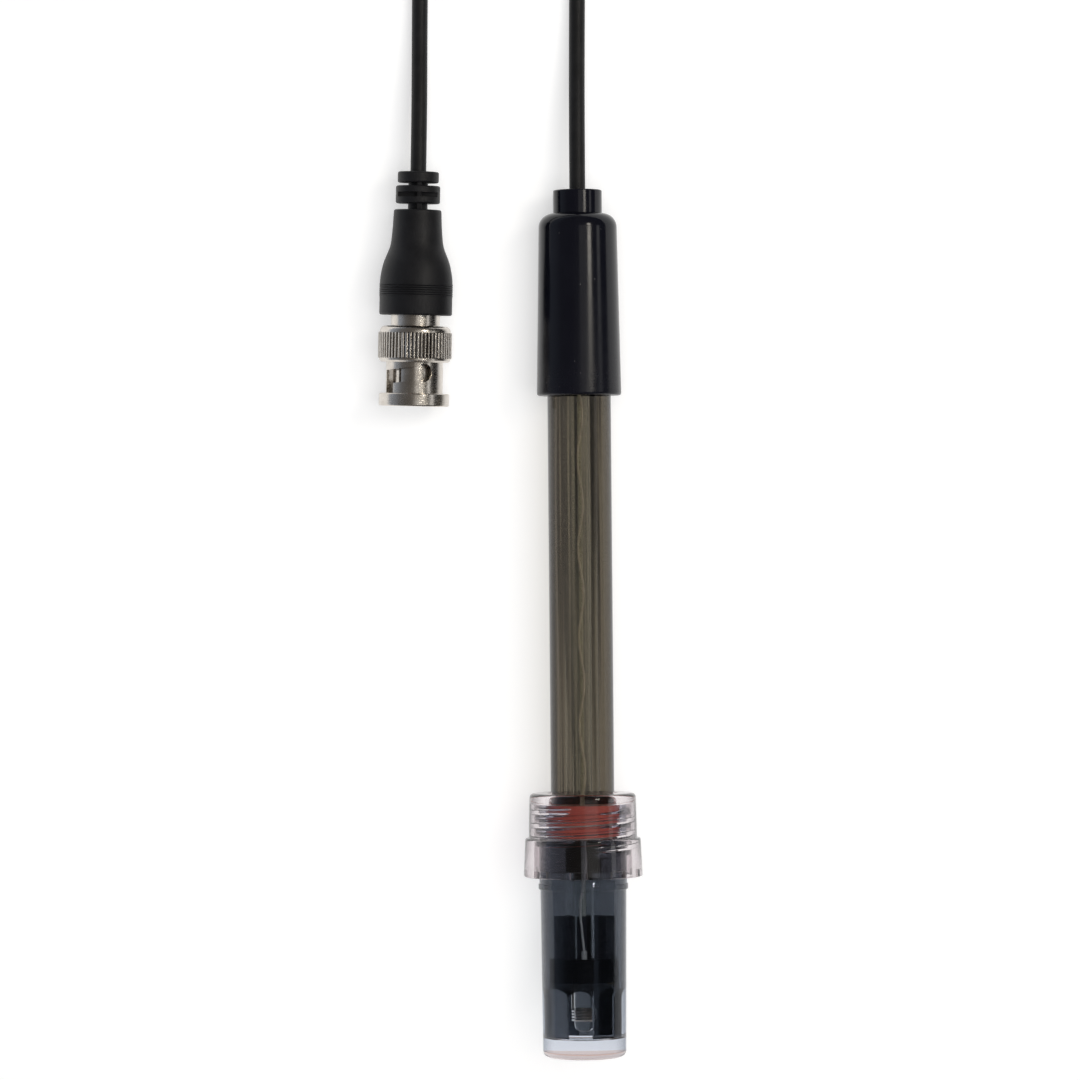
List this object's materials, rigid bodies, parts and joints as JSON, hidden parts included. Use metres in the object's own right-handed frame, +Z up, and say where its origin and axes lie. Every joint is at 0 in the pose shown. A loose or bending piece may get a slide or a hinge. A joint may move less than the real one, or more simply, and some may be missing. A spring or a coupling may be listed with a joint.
{
  "type": "redox probe",
  "caption": "Redox probe with a tinted body tube, gloss handle, thin cable with bayonet plug, and a clear screw-on storage vial over its platinum tip.",
  "frame": {"origin": "on the surface that it lies on, under the middle of the probe's own box, cable and plug left out", "axes": "+Z up, +Y along the probe from its tip towards its cable, +X to the right as seen from above with the cable away"},
  "size_m": [0.0491, 0.2562, 0.0224],
  "materials": {
    "smoke_plastic": "clear plastic tinted smoky brown, glossy",
    "clear_plastic": "clear moulded plastic, glossy",
    "handle_plastic": "black moulded plastic, glossy",
    "boot_rubber": "black rubber, satin",
    "cable_jacket": "black cable jacket, satin",
    "nickel": "nickel plate, satin",
    "gold": "gold plate, polished",
    "white_insulator": "white fluoropolymer, matt",
    "red_silicone": "brick-red silicone, satin",
    "black_epoxy": "black filled resin, satin",
    "clear_glass": "clear glass, polished",
    "platinum": "bright platinum wire",
    "silver_wire": "silver wire, slightly dulled",
    "tan_ceramic": "porous ceramic, matt",
    "tie_plastic": "black hook-and-loop strap, matt"
  },
  "bodies": {
    "probe": {"body_tube": "smoke_plastic", "bulkhead_plug": "black_epoxy", "reference_junction": "tan_ceramic", "stem_tube": "clear_glass", "glass_tip": "clear_glass", "platinum_winding": "platinum", "signal_wire": "silver_wire", "reference_wire": "silver_wire", "wire_crimp": "silver_wire", "end_plug": "black_epoxy", "handle_cap": "handle_plastic", "cable_gland": "boot_rubber", "outer_contact": "nickel", "insulator": "white_insulator", "center_pin": "gold", "gasket": "red_silicone", "spring_washer": "platinum", "plug_body": "nickel", "crimp_ferrule": "nickel", "plug_boot": "boot_rubber", "cable_lead": "cable_jacket", "cable_coil": "cable_jacket", "coil_tie": "tie_plastic", "cable_tail": "cable_jacket"},
    "cap_seal": {"seal_ring": "red_silicone"},
    "collar": {"screw_collar": "clear_plastic"},
    "vial": {"storage_vial": "clear_plastic"},
    "coupling_slider": {"thrust_washer": "nickel"},
    "coupling": {"coupling_sleeve": "nickel"}
  },
  "joints": [
    {"name": "storage_cap_pull", "type": "slide", "parent": "probe", "child": "cap_seal", "axis": [0, -0.9995, 0.0314], "range_m": [0, 0.06]},
    {"name": "collar_turn", "type": "hinge", "parent": "cap_seal", "child": "collar", "pos_m": [0, -0.03385, 0.01078], "axis": [0, 0.9995, -0.0314], "range_deg": [0, 1350]},
    {"name": "vial_travel", "type": "slide", "parent": "cap_seal", "child": "vial", "axis": [0, -0.9995, 0.0314], "range_m": [0, 0.00948]},
    {"name": "coupling_pull", "type": "slide", "parent": "probe", "child": "coupling_slider", "axis": [-0.0297, -0.9996, 0], "range_m": [0, 0.0006], "stiffness_N_per_m": 2000, "springref_m": -0.0005, "deforming": ["spring_washer"]},
    {"name": "coupling_turn", "type": "hinge", "parent": "coupling_slider", "child": "coupling", "pos_m": [-0.03098, 0.04875, 0.00695], "axis": [0.0297, 0.9996, 0], "continuous": true}
  ],
  "couplings": [
    {"joint": "vial_travel", "follows": "collar_turn", "m_per_rad": 0.00039789}
  ]
}
